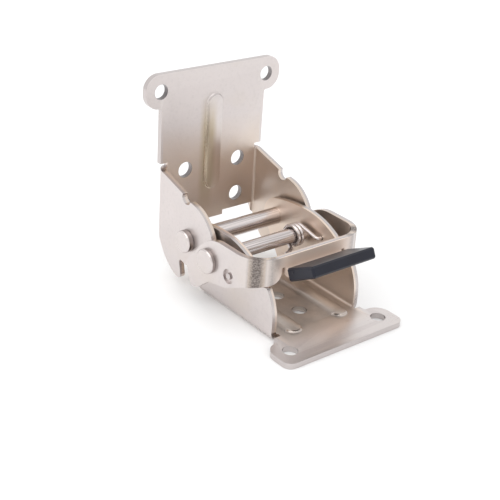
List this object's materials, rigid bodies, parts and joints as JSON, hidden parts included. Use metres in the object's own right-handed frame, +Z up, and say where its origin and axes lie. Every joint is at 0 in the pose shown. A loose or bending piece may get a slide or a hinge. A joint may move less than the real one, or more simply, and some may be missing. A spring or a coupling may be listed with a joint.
{
  "type": "folding shelf bracket",
  "caption": "Self-locking folding bracket: hinged T-shaped steel channels with screw holes, pressed ribs and a spring release lever with a black handle.",
  "frame": {"origin": "midway between the two ear holes of the lower bracket, on its mounting face; the upper bracket's mounting face is the plane Y = 82.8 mm", "axes": "+Z up, away from the surface the lower bracket is screwed to; -Y forward, along the lower bracket; X along the pivot pins"},
  "size_m": [0.0656, 0.0904, 0.0838],
  "materials": {
    "nickel_plate": "satin",
    "spring_wire": "satin",
    "handle_plastic": "matte"
  },
  "bodies": {
    "lower": {"lower_bracket": "nickel_plate", "pivot_rivet": "nickel_plate", "pivot_washer_left": "nickel_plate", "pivot_washer_right": "nickel_plate", "torsion_spring": "spring_wire"},
    "upper": {"upper_bracket": "nickel_plate"},
    "lever": {"release_lever": "nickel_plate", "handle_sleeve": "handle_plastic", "lever_pin": "nickel_plate"}
  },
  "joints": [
    {"name": "fold", "type": "hinge", "parent": "lower", "child": "upper", "pos_m": [0, 0.0608, 0.022], "axis": [-1, 0, 0], "range_deg": [0, 90]},
    {"name": "lever", "type": "hinge", "parent": "lower", "child": "lever", "pos_m": [0, 0.0436, 0.0214], "axis": [-1, 0, 0], "range_deg": [0, 20], "stiffness_Nm_per_rad": 0.5, "springref_deg": -22.92, "deforming": ["torsion_spring"]}
  ]
}
